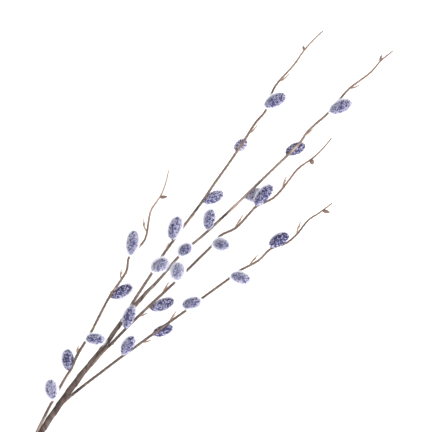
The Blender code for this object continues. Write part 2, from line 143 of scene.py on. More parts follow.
# Catkins: the two ends of the outline in the picture, width in mm, degrees that the tip rises, how far the
# base is above the middle of the twig in mm, how frosted the fur is (dark at 0, pale at 1), and how it lies.
# Long hairs hide the twig under a catkin that lies over it, and part for the twig in the other two lies.
CATKIN_ROWS = {
    "a": [
        ((52.8, 399.6), (50.0, 379.6), 18.0, 14, 2.0, 0.94, "over"),
        ((68.6, 370.8), (67.3, 349.4), 18.0, -10, 0.0, 0.21, "under"),
        ((85.6, 338.6), (105.0, 339.6), 17.0, 14, 5.0, 0.76, "over"),
        ((110.6, 297.6), (131.8, 286.2), 17.5, -22, -1.0, 0.02, "under"),
        ((130.4, 255.4), (134.6, 230.6), 18.0, 12, 1.0, 0.86, "over"),
    ],
    "b": [
        ((151.4, 270.1), (168.0, 260.5), 19.5, 44, 2.5, 1.00, "over"),
        ((170.6, 239.0), (179.0, 216.8), 18.5, 10, 2.0, 0.65, "over"),
        ((203.4, 202.6), (223.0, 192.8), 17.5, -10, 0.0, 0.37, "under"),
        ((234.8, 150.8), (246.4, 139.8), 16.5, -52, -2.0, 0.42, "under"),
        ((264.5, 106.2), (285.4, 95.6), 18.5, 15, 3.5, 0.35, "over"),
    ],
    "c": [
        ((178.6, 254.6), (191.2, 245.3), 16.5, 52, 2.5, 0.36, "over"),
        ((207.2, 229.8), (211.6, 209.6), 17.5, 12, 2.0, 0.78, "beside"),
        # c3's frost is partly its own pale fur and partly painted light: it is set higher to undo the shade
        # that d5 and its own twig cast on it
        ((246.0, 199.4), (262.6, 190.0), 17.0, -28, -1.0, 0.95, "under"),
        ((285.2, 153.2), (305.0, 144.8), 17.5, -38, -2.0, -0.15, "under"),
        ((329.5, 111.8), (351.2, 102.2), 19.0, 14, 4.0, 0.86, "over"),
    ],
    "d": [
        ((124.6, 328.4), (133.0, 306.4), 17.0, 12, 1.5, 0.42, "beside"),
        ((150.4, 309.2), (173.8, 300.4), 17.5, -22, -1.5, 0.15, "under"),
        ((176.2, 281.0), (179.2, 262.8), 20.0, 44, 2.5, 1.00, "over"),
        ((212.6, 242.8), (229.4, 246.4), 18.5, 46, 2.5, 0.98, "over"),
        ((254.6, 205.2), (272.0, 185.6), 18.5, 12, 2.0, 0.32, "beside"),
    ],
    "e": [
        ((121.8, 354.8), (133.8, 336.4), 17.0, 14, 1.5, 0.46, "beside"),
        ((152.4, 334.4), (172.8, 327.2), 16.5, -36, -2.0, -0.27, "under"),
        ((182.0, 305.8), (201.0, 300.6), 17.0, 24, 5.0, 0.48, "over"),
        ((230.6, 275.0), (250.2, 280.6), 17.5, 16, 3.5, 0.80, "over"),
        ((269.0, 245.6), (288.4, 234.6), 18.5, 22, 2.5, -0.04, "beside"),
    ],
}
Catkin = namedtuple("Catkin", "base, tip, width_mm, tilt, lift_mm, frost, lie")
CATKINS = {letter: [Catkin(*row) for row in rows] for letter, rows in CATKIN_ROWS.items()}
BARE_MM = {"over": (0.0, 0.0), "beside": (0.0, 6.5), "under": (0.3, 6.5)}
FEET = ("a4", "b4", "c4", "d2", "e2")
FOOT_PRESS_MM = 0.5
FLOOR_ROOM_MM = 0.05
BASE_TAPER = 0.15
CORE_SEGMENTS = 20
CORE_RINGS = 14

# The core under the fur, in lengths of the fur: how far inside the outline it is, and, in that inset, how far
# its base moves and how much shorter it is
CORE_INSET = 0.75
CORE_SHIFT = 0.6
CORE_LOSS = 1.3

# Layers of fur: what is added to the seed, how far hairs stray, how strongly they gather in clumps, how much
# of the layer grows where the catkin faces up or down, and which axes count in the reach of a bare strip
FUR_LAYERS = {
    "Fur": (0, 0.08, 0.95, 1.0, (1.0, 1.0, 1.0)),
    "Halo": (50, 0.4, 0.0, 0.0, (1.0, 1.0, 0.0)),
}
FACING_UP = (0.3, 0.6)
HAIR_LENGTHS = (0.65, 1.15)
FUR_SWEEP = 0.45
TWIG_GAP_MM = 0.3

# Tone of the fur, from 0 to 1: paler towards the base, and paler where the catkin is frosted
BASE_FADE = (0.0, 0.4, 0.3, 0.0)
FROST_TONE = 0.4
PALE_TONE = (0.63, 0.71)
FROSTED_ENDS = (0.2, 1.0)
WHITE_TIPS = (0.6, 1.0)

# Husk at a catkin's base: shares of the way from the twig into the catkin, and radii in mm
HUSK_DEPTH_MM = 4.5
HUSK_PROFILE = ((0.0, 1.3), (0.3, 1.75), (0.6, 2.0), (0.85, 1.7), (1.0, 1.2))

# Sprigs: root and tip in the picture, and how far in mm they bow away from the twig
SPRIGS = {
    "a": [
        ((78.2, 354.3), (79.0, 346.1), 4.6), ((121.1, 278.6), (121.8, 269.4), 4.2),
        ((147.0, 231.2), (143.3, 218.4), 5.6),
    ],
    "b": [((249.2, 132.8), (257.4, 125.0), 3.0), ((279.6, 81.2), (289.0, 74.2), 3.0)],
    "c": [((349.9, 88.2), (359.4, 85.0), 2.2)],
    "d": [
        ((139.3, 315.7), (146.8, 313.2), 1.8), ((162.2, 293.6), (168.8, 282.4), 1.4),
        ((234.7, 228.0), (243.1, 215.0), 1.6), ((282.6, 187.4), (286.3, 176.8), 2.4),
    ],
    "e": [
        ((142.3, 342.0), (151.0, 340.0), 1.8), ((168.9, 322.3), (176.4, 311.2), 1.6),
        ((250.0, 265.2), (258.0, 255.0), 2.6), ((296.9, 233.8), (301.0, 221.6), 3.4),
    ],
}
SPRIG_RISE_MM = 3.0
SPRIG_HOOK = 0.3
SHORT_SHARE = 0.7
FILAMENT_SPREAD_MM = 0.9
FILAMENT_PROFILE = ((0.0, 1.3), (0.15, 1.1), (0.35, 1.0), (0.6, 0.95), (0.85, 0.9), (1.0, 0.75))

# Bracts: root and tip in the picture. They are pale scales that lie along their twigs.
BRACTS = {
    "a": [((65.2, 379.0), (70.4, 372.0))],
    "b": [((165.3, 251.4), (169.6, 241.4)), ((188.8, 220.4), (194.9, 214.2))],
    "c": [((228.6, 211.8), (238.6, 204.2)), ((304.6, 136.2), (314.8, 127.8))],
    "d": [((85.8, 372.4), (93.0, 364.6))],
    "e": [],
}
BRACT_BOW_MM = 1.1
BRACT_PROFILE = ((0.0, 0.8), (0.25, 1.15), (0.5, 1.1), (0.75, 0.85), (1.0, 0.3))

# Buds: root and tip in the picture and the width in mm
BUDS = {
    "a": ((160.4, 198.0), (167.6, 196.6), 5.0),
    "b": ((304.0, 50.6), (302.9, 45.8), 4.0),
    "c": ((379.4, 61.8), (381.4, 54.6), 3.6),
    "d": ((311.2, 159.8), (312.9, 164.6), 6.8),
    "e": ((322.0, 210.4), (330.0, 212.5), 5.2),
}
BUD_RISE_MM = 1.5
BUD_PROFILE = (
    (0.0, 0.42), (0.12, 0.62), (0.28, 0.9), (0.45, 1.0), (0.62, 0.93), (0.78, 0.7), (0.9, 0.42), (1.0, 0.1),
)

# Knots on the twigs, given as the buds are
KNOTS = {"a": ((110.6, 294.2), (112.4, 290.6), 4.8), "d": ((110.6, 344.0), (114.2, 343.2), 3.6)}

# Places in the picture where the green under the twigs' paper shows
GREEN_NICKS = {
    "a": [((92.7, 327.0), 1.0), ((91.2, 329.8), 1.0), ((89.8, 332.6), 1.0)],
    "b": [((228.5, 164.0), 0.45), ((216.0, 182.0), 0.45)],
    "c": [((263.0, 179.0), 0.45), ((279.5, 163.0), 0.45)],
    "d": [],
    "e": [],
}
NICK_REACH_MM = 1.9
NICK_EDGE = 1.2

# White fluff of a catkin that lies over its twig: how far it covers the twig outside the catkin's outline,
# how far inside it, and over what length it thins out
FLUFF_REACH_MM = 1.9
FLUFF_INSET_MM = 2.0
FLUFF_FADE_MM = 1.0
FLUFF_MIDDLE = 0.001

# Places in the picture where a twig's paper is worn pale (above 0) or soiled dark (below 0): place, reach in
# mm and amount
WORN_EDGE = 1.3
WORN_PLACES = {
    "a": [
        ((38.0, 430.0), 25.0, 0.4), ((90.0, 333.5), 7.0, -0.5), ((111.8, 292.2), 5.0, -0.7),
        ((114.6, 289.0), 4.0, 0.6), ((162.0, 188.0), 60.0, 0.65),
    ],
    "b": [((197.0, 208.5), 8.0, -0.5), ((304.0, 50.0), 70.0, 0.15)],
    "c": [((237.0, 205.0), 13.0, 0.6), ((224.0, 216.0), 9.0, -0.65), ((294.0, 148.5), 8.0, 0.8)],
    "d": [((98.0, 358.0), 12.0, 0.25), ((110.0, 345.0), 6.0, -0.6)],
    "e": [((78.0, 390.0), 12.0, -0.6), ((301.0, 228.0), 35.0, -0.35)],
}

# How much paler than the others a twig's paper is, from 0 to 1
FADED_TWIGS = {"a": 0.0, "b": 0.08, "c": 0.25, "d": 0.0, "e": 0.0}
FADE_END = 0.75
FADE_RUN = 0.2

# Ends of the bundled wires at the cut stem, each (across, up) from the stem's middle in mm
WIRE_ENDS_MM = ((0.0, 0.1), (1.9, 0.6), (-1.8, 0.9), (1.0, -1.7), (-1.1, -1.6))
WIRE_RADIUS_MM = 0.75
WIRE_OUT_MM = 0.7
WIRE_DEPTH_MM = 4.0

# Winding: how uneven it is, and over which share of a lap the tape's edge rises
LUMPS_PER_METRE = 90.0
LAP_UNEVEN = 0.35
RIB_UNEVEN = 2.2
LAP_LIP = (0.94, 1.0)

# Strands: sides, ring spacing and wander in mm, and the sizes of RELIEF in mm where no setting gives them
RELIEF = ("Tape Pitch", "Lap Rise", "Rib Pitch", "Rib Rise")
STRANDS = {
    "stem": (40, 0.7, 0.5, ()),
    "twig": (12, 1.2, 0.5, ()),
    "wire end": (12, 0.5, 0.0, (20.0, 0.0, 20.0, 0.0)),
    "sprig": (8, 0.6, 0.2, (10.0, 0.0, 3.0, 0.03)),
    "husk": (10, 0.35, 0.3, (3.5, 0.25, 10.0, 0.0)),
    "bract": (10, 0.5, 0.2, (10.0, 0.0, 3.0, 0.03)),
    "bud": (16, 0.3, 0.2, (2.5, 0.15, 3.0, 0.0)),
}

# Papers: material, where along the strand its colour changes, how pale it is worn, how dark the painted shade
# at each lap is, and the sizes in mm of its fibres and patches. Real fibres are too fine to show: these are
# coarser.
PAPERS = {
    "stem": ("Crepe paper tape", (0.12, 0.7), 0.55, 0.85, 2.2, 14.0),
    "twig": ("Paper wound wire", (0.4, 1.0), 0.3, 0.5, 2.5, 9.0),
}
FIBRE_BLOTCHES = (0.35, 0.7, 0.0, 0.55)
WORN_PATCHES = (0.42, 0.68, 0.0)
LAP_SHADOW = (0.76, 0.93, 0.0)
LAP_SHADOW_END = (0.95, 1.0, 1.0, 0.0)
GREEN_UNDER_PAPER = "#8C8A3F"
FLUFF_WHITE = "#FBFAFE"

# Other surfaces. Real streaks and scratches are too fine to show, so they are drawn coarser.
BARK_STREAKS_PER_METRE = 900.0
SPRIG_STREAK = "#745746"
WIRE_SCRATCHES_PER_METRE = 4000.0
WIRE_GREYS = ("#8A8886", "#6B6967")
GRAIN_MM = 0.1

# Stage: lights in metres from the middle of the picture, floor and camera
SOFTBOX_SIZE = 1.4
KEY_PLACE = (-0.15, -1.7, 1.4)
FLOOR_LAMP_PLACE = (0.0, 0.0, 2.5)
FLOOR_HALF_SIZE = 8.0
FLOOR_DROP_MM = 0.2
SENSOR_MM = 36.0
CAMERA_ABOVE_MM = 20
CAMERA_REACH = 100.0


def linear(hex_colour):
    """The linear colour, with alpha, of an sRGB hex value."""
    channels = [int(hex_colour[start : start + 2], 16) / 255 for start in (1, 3, 5)]
    return tuple(c / 12.92 if c <= 0.04045 else ((c + 0.055) / 1.055) ** 2.4 for c in channels) + (1.0,)


def colour_property(name, description, hex_colour):
    """A colour that a user can pick, with an sRGB hex value as its default."""
    return bpy.props.FloatVectorProperty(
        name=name, description=description, subtype="COLOR", size=4, min=0.0, max=1.0,
        default=linear(hex_colour),
    )


def number_property(name, description, default, **kind):
    """A number that a user can set."""
    return bpy.props.FloatProperty(name=name, description=description, min=0.0, default=default, **kind)


def length_property(name, description, millimetres):
    """A length that a user can set, with its default in millimetres."""
    return number_property(name, description, millimetres * MM, unit="LENGTH", precision=5)


class WillowStrandSettings(bpy.types.PropertyGroup):
    """Sizes and colours of the taped stem, the wound twigs and what grows on them."""

    tape_pitch: length_property("Tape Pitch", "Distance along the stem from lap to lap of its tape", 25.0)
    tape_lap: length_property("Tape Lap", "Height of the step at each lap of the stem's tape", 0.7)
    crepe_pitch: length_property("Crepe Pitch", "Distance between the ribs of the crepe paper", 1.5)
    crepe_rise: length_property("Crepe Rise", "Height of the ribs of the crepe paper", 0.1)
    wind_pitch: length_property("Winding Pitch", "Distance from lap to lap of the paper on a twig", 7.0)
    wind_lap: length_property("Winding Lap", "Height of the step at each lap of the paper on a twig", 0.3)
    tape_colour: colour_property("Tape", "Crepe tape at the foot of the stem", "#2F2523")
    tape_high: colour_property("Upper Tape", "Crepe tape at the upper end of the stem", "#675851")
    # Tape Shade colours the darker fibre blotches and streaks, and also the painted shade at the end of each
    # lap
    tape_shade: colour_property("Tape Shade", "Crepe tape where laps and folds are dark", "#322825")
    tape_pale: colour_property("Tape Pale", "Crepe tape where it is stretched thin", "#78675F")
    low_colour: colour_property("Lower Twig", "Paper of a twig near the stem", "#5B4C45")
    high_colour: colour_property("Upper Twig", "Paper of a twig near its tip", "#7C6152")
    worn_colour: colour_property("Worn Paper", "Paper of a twig where it is worn pale", "#988880")
    sprig_colour: colour_property("Sprig", "Thin sprigs", "#87705D")
    bract_colour: colour_property("Bract", "Pale scales that lie along the twigs", "#B6A092")
    bud_colour: colour_property("Bud", "Buds near the tips of the twigs", "#745C4F")
    husk_colour: colour_property("Husk", "Husks under the catkins", "#57433B")


class WillowFurSettings(bpy.types.PropertyGroup):
    """Sizes and colours of the catkins' fur."""

    fur_length: length_property("Fur Length", "Length of the dense fur", 2.0)
    fur_width: length_property("Fur Width", "Half the thickness of a lock of fur at its root", 0.17)
    fur_density: number_property("Fur Density", "Locks of fur on a square millimetre", 4.6)
    clump: length_property("Clump", "Distance between the clumps that the fur gathers in", 1.6)
    halo_length: length_property("Halo Length", "Length of the long white hairs", 5.6)
    halo_width: length_property("Halo Width", "Half the thickness of a long white hair", 0.09)
    halo_density: number_property("Halo Density", "Long white hairs on a square millimetre", 3.4)
    dark_colour: colour_property("Dark Fur", "Fur of the darkest clumps", "#57557C")
    dusty_colour: colour_property("Dusty Fur", "Fur of the darkest clumps of a frosted catkin", "#6B6995")
    pale_colour: colour_property("Pale Fur", "Fur of the palest clumps", "#E4E3FD")
    frost_colour: colour_property("Frost", "Long hairs and the tips of the fur", "#F5F4FE")


class WillowStageSettings(bpy.types.PropertyGroup):
    """Floor, lights and camera."""

    floor_colour: colour_property("Floor", "Plain floor under the branch", "#F7F7F7")
    sky_strength: number_property("Fill Light", "Strength of the light from all round", 1.3)
    key_power: number_property("Key Light", "Power of the large soft light on the branch", 62.0, unit="POWER")
    floor_power: number_property("Floor Light", "Power of the light on the floor alone", 46.0, unit="POWER")
    lens: number_property("Lens", "Focal length in mm, long enough to look flat", 1000.0, unit="CAMERA")


def picture_point(across, down, height_mm=0.0):
    """The point in metres that a pixel of the picture shows, at a height above the surface."""
    right = (across - ORIGIN_PIXEL[0]) * MM_PER_PIXEL
    up = (ORIGIN_PIXEL[1] - down) * MM_PER_PIXEL
    along = right * math.cos(SPRAY_ANGLE) + up * math.sin(SPRAY_ANGLE)
    beside = up * math.cos(SPRAY_ANGLE) - right * math.sin(SPRAY_ANGLE)
    return Vector((along, beside, height_mm)) * MM


def smooth_route(route):
    """Evenly spaced points on a Catmull-Rom curve through a route's points."""
    knots = [picture_point(*point) for point in route]
    ends = [2 * knots[0] - knots[1]] + knots + [2 * knots[-1] - knots[-2]]
    points = [knots[0]]
    for before, start, end, after in zip(ends, ends[1:], ends[2:], ends[3:]):
        steps = max(1, round((end - start).length / (ROUTE_SPACING_MM * MM)))
        for step in range(1, steps + 1):
            t = step / steps
            bend = (2 * before - 5 * start + 4 * end - after) * t * t
            turn = (3 * start - before - 3 * end + after) * t * t * t
            points.append((2 * start + (end - before) * t + bend + turn) / 2)
    return points


def shares_of_length(points):
    """How far along a route each of its points is, from 0 to 1."""
    lengths = [0.0]
    for start, end in zip(points, points[1:]):
        lengths.append(lengths[-1] + (end - start).length)
    return [length / lengths[-1] for length in lengths]


def nearest_on_route(points, place):
    """The point of a route that lies nearest to a place as seen from above."""
    best = None
    for start, end in zip(points, points[1:]):
        run = end - start
        flat_run = run.to_2d()
        share = (place - start).to_2d().dot(flat_run) / flat_run.length_squared
        candidate = start + run * min(1.0, max(0.0, share))
        distance = (place - candidate).to_2d().length
        if best is None or distance < best[0]:
            best = (distance, candidate)
    return best[1]


def between(start, end, share):
    """A smooth step from 0 to 1 as share goes from start to end."""
    t = min(1.0, max(0.0, (share - start) / (end - start)))
    return t * t * (3 - 2 * t)


def stem_radius(share):
    """The stem's radius in mm, which drops where twigs leave it."""
    radius = STEM_RADII_MM["butt"]
    radius += (STEM_RADII_MM["middle"] - STEM_RADII_MM["butt"]) * between(*FIRST_STEP, share)
    radius += (STEM_RADII_MM["end"] - STEM_RADII_MM["middle"]) * between(*SECOND_STEP, share)
    return radius


def twig_line(letter):
    """A twig's points and its radius in mm at each."""
    points = smooth_route(TWIG_ROUTES[letter])
    radii = []
    for share in shares_of_length(points):
        loss = TWIG_MIDDLE_LOSS_MM * share + TWIG_TIP_LOSS_MM * share**TWIG_TIP_POWER
        radii.append(TWIG_ROOT_MM + PAPER_MM - loss)
    return points, radii


def feed(node, inputs):
    """Fills a node's inputs, by name or in order, with values, sockets or the first used output of nodes."""
    for key, value in inputs.items() if isinstance(inputs, dict) else enumerate(inputs):
        if isinstance(value, bpy.types.Node):
            value = next(socket for socket in value.outputs if socket.enabled)
        if isinstance(value, bpy.types.NodeSocket):
            node.id_data.links.new(value, node.inputs[key])
        else:
            node.inputs[key].default_value = value


def add_node(tree, kind, inputs=(), **settings):
    """Adds a node with its settings and inputs."""
    node = tree.nodes.new(kind)
    for name, value in settings.items():
        setattr(node, name, value)
    feed(node, inputs)
    return node


def new_tree(name, sockets):
    """A geometry tree with named inputs of each kind, what adds a node to it, and the inputs' sockets."""
    tree = bpy.data.node_groups.new(name, "GeometryNodeTree")
    tree.interface.new_socket("Geometry", in_out="OUTPUT", socket_type="NodeSocketGeometry")
    for kind, labels in {"Geometry": ("Geometry",), **sockets, "Material": ("Material",)}.items():
        for label in labels:
            tree.interface.new_socket(label, in_out="INPUT", socket_type="NodeSocket" + kind)
    add = partial(add_node, tree)
    return tree, add, add("NodeGroupInput").outputs


def end_tree(add, geometry, material):
    """Ends a tree: what is below the surface is raised onto it, and all is made real with its material."""
    axes = add(SEPARATE, (add(POSITION),))
    raised = add(MATH, (axes.outputs["Z"], FLOOR_ROOM_MM * MM), operation="MAXIMUM")
    level = add(COMBINE, (axes.outputs["X"], axes.outputs["Y"], raised))
    pressed = add(SET_POSITION, {"Geometry": geometry, "Position": level})
    smooth = add("GeometryNodeSetShadeSmooth", {"Geometry": pressed})
    real = add(REALIZE, {"Geometry": smooth})
    painted = add("GeometryNodeSetMaterial", {"Geometry": real, "Material": material})
    add("NodeGroupOutput", {"Geometry": painted})


def strand_tree():
    """A strand along a curve, wound with a tape that laps in a spiral and is ribbed across."""
    sockets = {"Float": ("Ring Spacing", "Wander", "Seed", *RELIEF), "Int": ("Sides",)}
    tree, add, given = new_tree("Wound strand", sockets)
    spline = add("GeometryNodeSplineParameter")
    spaced = {"Curve": given["Geometry"], "Length": given["Ring Spacing"]}
    line = add("GeometryNodeResampleCurve", spaced, mode="LENGTH")
    for name, output in (("along", "Length"), ("share", "Factor")):
        line = add(STORE, {"Geometry": line, "Name": name, "Value": spline.outputs[output]})
    circle = add("GeometryNodeCurvePrimitiveCircle", {"Resolution": given["Sides"], "Radius": 1.0})
    ring = add(STORE, {"Geometry": circle, "Name": "around", "Value": spline})
    thickness = add("GeometryNodeInputRadius")
    skin = add(CURVE_TO_MESH, {"Curve": line, "Profile Curve": ring, "Scale": thickness, "Fill Caps": True})
    run = add("GeometryNodeInputNamedAttribute", {"Name": "along"}, data_type="FLOAT")
    angle = add("GeometryNodeInputNamedAttribute", {"Name": "around"}, data_type="FLOAT")
    lumps = add(
        NOISE, {"Vector": add(POSITION), "W": given["Seed"], "Scale": LUMPS_PER_METRE, "Detail": 2.0},
        noise_dimensions="4D",
    )
    uneven = add(MATH, (lumps, 0.5), operation="SUBTRACT")

    # Laps: each falls away from its edge, which ends in a short steep lip
    turns = add(MATH, (run, given["Tape Pitch"]), operation="DIVIDE")
    wound = add(MATH, (turns, angle), operation="ADD")
    wavy = add(MATH, (uneven, LAP_UNEVEN, wound), operation="MULTIPLY_ADD")
    lap = add(MATH, (wavy,), operation="FRACT")
    left = add(MATH, (1.0, lap), operation="SUBTRACT")
    fall = add(MATH, (left, 2.0), operation="POWER")
    lip = add(MAP_RANGE, (lap, *LAP_LIP), interpolation_type="SMOOTHSTEP")
    crest = add(MATH, (fall, lip), operation="MAXIMUM")
    step = add(MATH, (crest, given["Lap Rise"]), operation="MULTIPLY")

    # Ribs across the strand
    ribs = add(MATH, (run, given["Rib Pitch"]), operation="DIVIDE")
    loose = add(MATH, (uneven, RIB_UNEVEN, ribs), operation="MULTIPLY_ADD")
    cycle = add(MATH, (loose, math.tau), operation="MULTIPLY")
    wave = add(MATH, (cycle,), operation="SINE")
    ribbed = add(MATH, (wave, given["Rib Rise"], step), operation="MULTIPLY_ADD")
    rise = add(MATH, (uneven, given["Wander"], ribbed), operation="MULTIPLY_ADD")
    offset = add(VECTOR_MATH, {0: add("GeometryNodeInputNormal"), "Scale": rise}, operation="SCALE")
    kept = add(STORE, {"Geometry": skin, "Name": "lap", "Value": lap})
    end_tree(add, add(SET_POSITION, {"Geometry": kept, "Offset": offset}), given["Material"])
    return tree


def fur_layer(add, given, line, name):
    """One layer of fur on the core: scattered roots, hairs turned outward and swept to the tip."""
    seed_shift, jitter, gather, top_share, flatten = FUR_LAYERS[name]
    length, width = given[name + " Length"], given[name + " Width"]
    place = add(POSITION)

    # Roots, fewer where the catkin faces up or down, and none near the twig
    seed = add(MATH, (given["Seed"], seed_shift), operation="ADD")
    upward = add(SEPARATE, (add("GeometryNodeInputNormal"),))
    steep = add(MATH, (upward.outputs["Z"],), operation="ABSOLUTE")
    sparse = add(MAP_RANGE, (steep, *FACING_UP, 1.0, top_share))
    density = add(MATH, (given[name + " Density"], sparse), operation="MULTIPLY")
    scattered = {"Mesh": given["Geometry"], "Density": density, "Seed": seed}
    roots = add("GeometryNodeDistributePointsOnFaces", scattered)
    seen = add(VECTOR_MATH, (place, flatten), operation="MULTIPLY")
    shadow = add(SET_POSITION, {"Geometry": line, "Position": seen})
    to_twig = add("GeometryNodeProximity", {0: shadow, "Sample Position": seen}, target_element="EDGES")
    near = add(MATH, (to_twig.outputs["Distance"], given[name + " Bare Reach"]), operation="LESS_THAN")
    kept = add("GeometryNodeDeleteGeometry", {"Geometry": roots, "Selection": near}, domain="POINT")

    # Directions: outward, towards the middle of the clump, along the catkin and a little astray
    finer = add(MATH, (1.0, given["Clump Size"]), operation="DIVIDE")
    cell = add("ShaderNodeTexVoronoi", {"Vector": place, "Scale": finer})
    inward = add(VECTOR_MATH, (cell.outputs["Position"], place), operation="SUBTRACT")
    pull = add(MATH, (gather, length), operation="DIVIDE")
    gathered = add(VECTOR_MATH, {0: inward, "Scale": pull}, operation="SCALE")
    swept = add(VECTOR_MATH, {0: given["Direction"], "Scale": FUR_SWEEP}, operation="SCALE")
    most = Vector((jitter, jitter, jitter))
    stray = add(RANDOM, {0: -most, 1: most, "Seed": given["Seed"]}, data_type="FLOAT_VECTOR")
    heading = roots.outputs["Normal"]
    for part in (gathered, swept, stray):
        heading = add(VECTOR_MATH, (heading, part), operation="ADD")
    turned = add("FunctionNodeAlignRotationToVector", {"Vector": heading}, axis="Z")
    spin = add(RANDOM, {RANDOM_MIN: 0.0, RANDOM_MAX: math.tau, "Seed": seed}, data_type="FLOAT")
    about = add("FunctionNodeAxisAngleToRotation", {"Axis": (0.0, 0.0, 1.0), "Angle": spin})
    posed = add("FunctionNodeRotateRotation", (turned, about), rotation_space="LOCAL")

    # Hairs: three-sided cones, each of its own length
    shortest, longest = HAIR_LENGTHS
    vary = add(RANDOM, {RANDOM_MIN: shortest, RANDOM_MAX: longest, "Seed": seed}, data_type="FLOAT")
    long = add(MATH, (vary, length), operation="MULTIPLY")
    size = add(COMBINE, (width, width, long))
    cone = add("GeometryNodeMeshCone", {"Vertices": 3, "Radius Top": 0.0, "Radius Bottom": 1.0, "Depth": 1.0})
    height = add(SEPARATE, (place,)).outputs["Z"]
    hair = add(STORE, {"Geometry": cone, "Name": "tip", "Value": height})
    planted = {"Points": kept, "Instance": hair, "Rotation": posed, "Scale": size}
    hairs = add("GeometryNodeInstanceOnPoints", planted)

    # Tone: the clump's own, paler towards the base and where the catkin is frosted
    from_base = add(VECTOR_MATH, (place, given["Base"]), operation="SUBTRACT")
    reach = add(VECTOR_MATH, (from_base, given["Direction"]), operation="DOT_PRODUCT")
    share = add(MATH, (reach, given["Catkin Length"]), operation="DIVIDE")
    fade = add(MAP_RANGE, (share, *BASE_FADE))
    speck = add(SEPARATE, (cell.outputs["Color"],))
    own = add(MATH, (speck, fade), operation="ADD")
    tone = add(MATH, (given["Frost"], FROST_TONE, own), operation="MULTIPLY_ADD")
    for label, value in (("tone", tone), ("halo", float(name == "Halo")), ("frost", given["Frost"])):
        hairs = add(STORE, {"Geometry": hairs, "Name": label, "Value": value}, domain="INSTANCE")
    return hairs


def fur_tree():
    """Fur on a catkin's core: dense locks gathered in clumps, and long white hairs beyond them."""
    parts = [f"{name} {part}" for name in FUR_LAYERS for part in ("Density", "Length", "Width", "Bare Reach")]
    tree, add, given = new_tree("Catkin fur", {
        "Vector": ("Base", "Direction"), "Object": ("Twig",), "Int": ("Seed",),
        "Float": ("Catkin Length", "Clump Size", "Frost", "Twig Room", *parts),
    })
    twig = add("GeometryNodeObjectInfo", {"Object": given["Twig"]}, transform_space="RELATIVE")
    line = add(CURVE_TO_MESH, {"Curve": twig.outputs["Geometry"]})
    joined = add("GeometryNodeJoinGeometry", {"Geometry": given["Geometry"]})
    for name in FUR_LAYERS:
        feed(joined, {"Geometry": fur_layer(add, given, line, name)})
    real = add(REALIZE, {"Geometry": joined})

    # What would reach into the twig is pushed clear of it
    to_twig = add("GeometryNodeProximity", (line,), target_element="EDGES")
    away = add(VECTOR_MATH, (add(POSITION), to_twig.outputs["Position"]), operation="SUBTRACT")
    way = add(VECTOR_MATH, (away,), operation="NORMALIZE")
    lack = add(MATH, (given["Twig Room"], to_twig.outputs["Distance"]), operation="SUBTRACT")
    push = add(MATH, (lack, 0.0), operation="MAXIMUM")
    aside = add(VECTOR_MATH, {0: way, "Scale": push}, operation="SCALE")
    end_tree(add, add(SET_POSITION, {"Geometry": real, "Offset": aside}), given["Material"])
    return tree


def placed(name, data):
    """A new object in the scene."""
    thing = bpy.data.objects.new(name, data)
    bpy.context.scene.collection.objects.link(thing)
    return thing


def evaluated_mesh(thing, name):
    """A plain mesh of an object as its modifiers leave it."""
    bpy.context.view_layer.update()
    depsgraph = bpy.context.evaluated_depsgraph_get()
    mesh = bpy.data.meshes.new_from_object(thing.evaluated_get(depsgraph))
    mesh.name = name
    return mesh


def grown(name, host, tree, values):
    """The plain object that a tree makes from a host; the host and its modifier are removed."""
    modifier = host.modifiers.new("Shape", "NODES")
    modifier.node_group = tree
    sockets = {item.name: item.identifier for item in tree.interface.items_tree if item.in_out == "INPUT"}
    for label, value in values.items():
        modifier[sockets[label]] = value
    mesh = evaluated_mesh(host, name)
    bpy.data.objects.remove(host, do_unlink=True)
    return placed(name, mesh)


def guide(name, lines):
    """A curve object with a polyline, and radii in mm, for each line."""
    curve = bpy.data.curves.new(name, "CURVE")
    curve.dimensions = "3D"
    for points, radii_mm in lines:
        spline = curve.splines.new("POLY")
        spline.points.add(len(points) - 1)
        for knot, point, radius in zip(spline.points, points, radii_mm):
            knot.co = (*point, 1.0)
            knot.radius = radius * MM
    return placed(name, curve)


def shared_tree(name, make):
    """The tree of that name, made the first time that it is asked for."""
    return bpy.data.node_groups.get(name) or make()


def strand(name, kind, lines, material, seed, relief=None):
    """A wound strand along each line, as one plain piece."""
    sides, ring_mm, wander_mm, relief_mm = STRANDS[kind]
    values = dict(zip(RELIEF, relief or [size * MM for size in relief_mm]))
    values |= {"Sides": sides, "Ring Spacing": ring_mm * MM, "Wander": wander_mm * MM}
    values |= {"Seed": float(seed), "Material": material}
    return grown(name, guide(name + "_guide", lines), shared_tree("Wound strand", strand_tree), values)


def belong(piece, slot, *nodes):
    """Makes a piece part of the branch, in place of the nodes that it stands for."""
    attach(piece, "root")
    if nodes:
        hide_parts(*nodes)


def new_material(name):
    """A material, what adds a node to it, and its surface shader."""
    material = bpy.data.materials.new(name)
    material.use_nodes = True
    return material, partial(add_node, material.node_tree), material.node_tree.nodes["Principled BSDF"]


